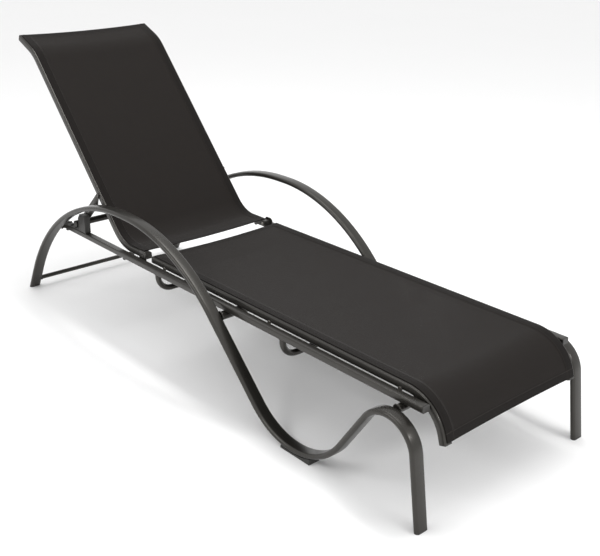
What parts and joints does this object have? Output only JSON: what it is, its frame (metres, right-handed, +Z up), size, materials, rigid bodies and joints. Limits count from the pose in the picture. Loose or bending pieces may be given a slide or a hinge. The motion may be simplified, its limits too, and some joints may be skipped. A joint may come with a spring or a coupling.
{
  "type": "reclining sun lounger",
  "caption": "Reclining sun lounger: bent flat-oval tube side frames, a stretched mesh seat and a mesh backrest held up by a prop on racks.",
  "frame": {"origin": "on the floor, under the middle of the lounger's box with the backrest at its most upright notch", "axes": "+X towards the foot end, +Y to the left of someone lying on it, +Z up"},
  "size_m": [1.9758, 0.66, 0.9007],
  "materials": {
    "frame_paint": "satin graphite powder coat",
    "mesh_fabric": "dark brown-grey coated mesh, slightly see-through",
    "dark_plastic": "fine matte",
    "foot_rubber": "matte",
    "bolt_metal": "dark satin"
  },
  "bodies": {
    "frame": {"arm_crossbar": "frame_paint", "base_rail_front_plug_left": "dark_plastic", "base_rail_front_plug_right": "dark_plastic", "base_rail_left": "frame_paint", "base_rail_rear_plug_left": "dark_plastic", "base_rail_rear_plug_right": "dark_plastic", "base_rail_right": "frame_paint", "dropped_crossbar_front": "frame_paint", "dropped_crossbar_rear": "frame_paint", "front_crossbar": "frame_paint", "front_foot_cap_left": "foot_rubber", "front_foot_cap_right": "foot_rubber", "mid_foot_pad_left": "foot_rubber", "mid_foot_pad_right": "foot_rubber", "pivot_bolt_left": "bolt_metal", "pivot_bolt_right": "bolt_metal", "pivot_bracket_left": "frame_paint", "pivot_bracket_right": "frame_paint", "rack_left": "dark_plastic", "rack_right": "dark_plastic", "rail_bumper_middle_left": "foot_rubber", "rail_bumper_middle_right": "foot_rubber", "rail_bumper_rear_left": "foot_rubber", "rail_bumper_rear_right": "foot_rubber", "rear_foot_cap_left": "foot_rubber", "rear_foot_cap_right": "foot_rubber", "rear_link_left": "frame_paint", "rear_link_right": "frame_paint", "rear_low_crossbar": "frame_paint", "seat_rail_foot_plug_left": "dark_plastic", "seat_rail_foot_plug_right": "dark_plastic", "seat_rail_left": "frame_paint", "seat_rail_rear_plug_left": "dark_plastic", "seat_rail_rear_plug_right": "dark_plastic", "seat_rail_right": "frame_paint", "seat_sling": "mesh_fabric", "seat_stud_front_left": "bolt_metal", "seat_stud_front_right": "bolt_metal", "seat_stud_middle_left": "bolt_metal", "seat_stud_middle_right": "bolt_metal", "seat_stud_rear_left": "bolt_metal", "seat_stud_rear_right": "bolt_metal", "side_frame_left": "frame_paint", "side_frame_right": "frame_paint"},
    "backrest": {"back_rail_left": "frame_paint", "back_rail_plug_left": "dark_plastic", "back_rail_plug_right": "dark_plastic", "back_rail_right": "frame_paint", "back_sling": "mesh_fabric", "head_crossbar": "frame_paint", "prop_bolt_left": "bolt_metal", "prop_bolt_right": "bolt_metal"},
    "prop": {"prop_arm_left": "frame_paint", "prop_arm_right": "frame_paint", "prop_rod": "frame_paint", "rod_cap_left": "dark_plastic", "rod_cap_right": "dark_plastic"}
  },
  "joints": [
    {"name": "backrest_recline", "type": "hinge", "parent": "frame", "child": "backrest", "pos_m": [-0.25809, 0, 0.3035], "axis": [0, -1, 0], "range_deg": [0, 26]},
    {"name": "prop_swing", "type": "hinge", "parent": "backrest", "child": "prop", "pos_m": [-0.51411, 0, 0.43713], "axis": [0, -1, 0], "range_deg": [-75.4, 0]}
  ],
  "couplings": [
    {"joint": "prop_swing", "follows": "backrest_recline", "ratio": -2.9}
  ]
}
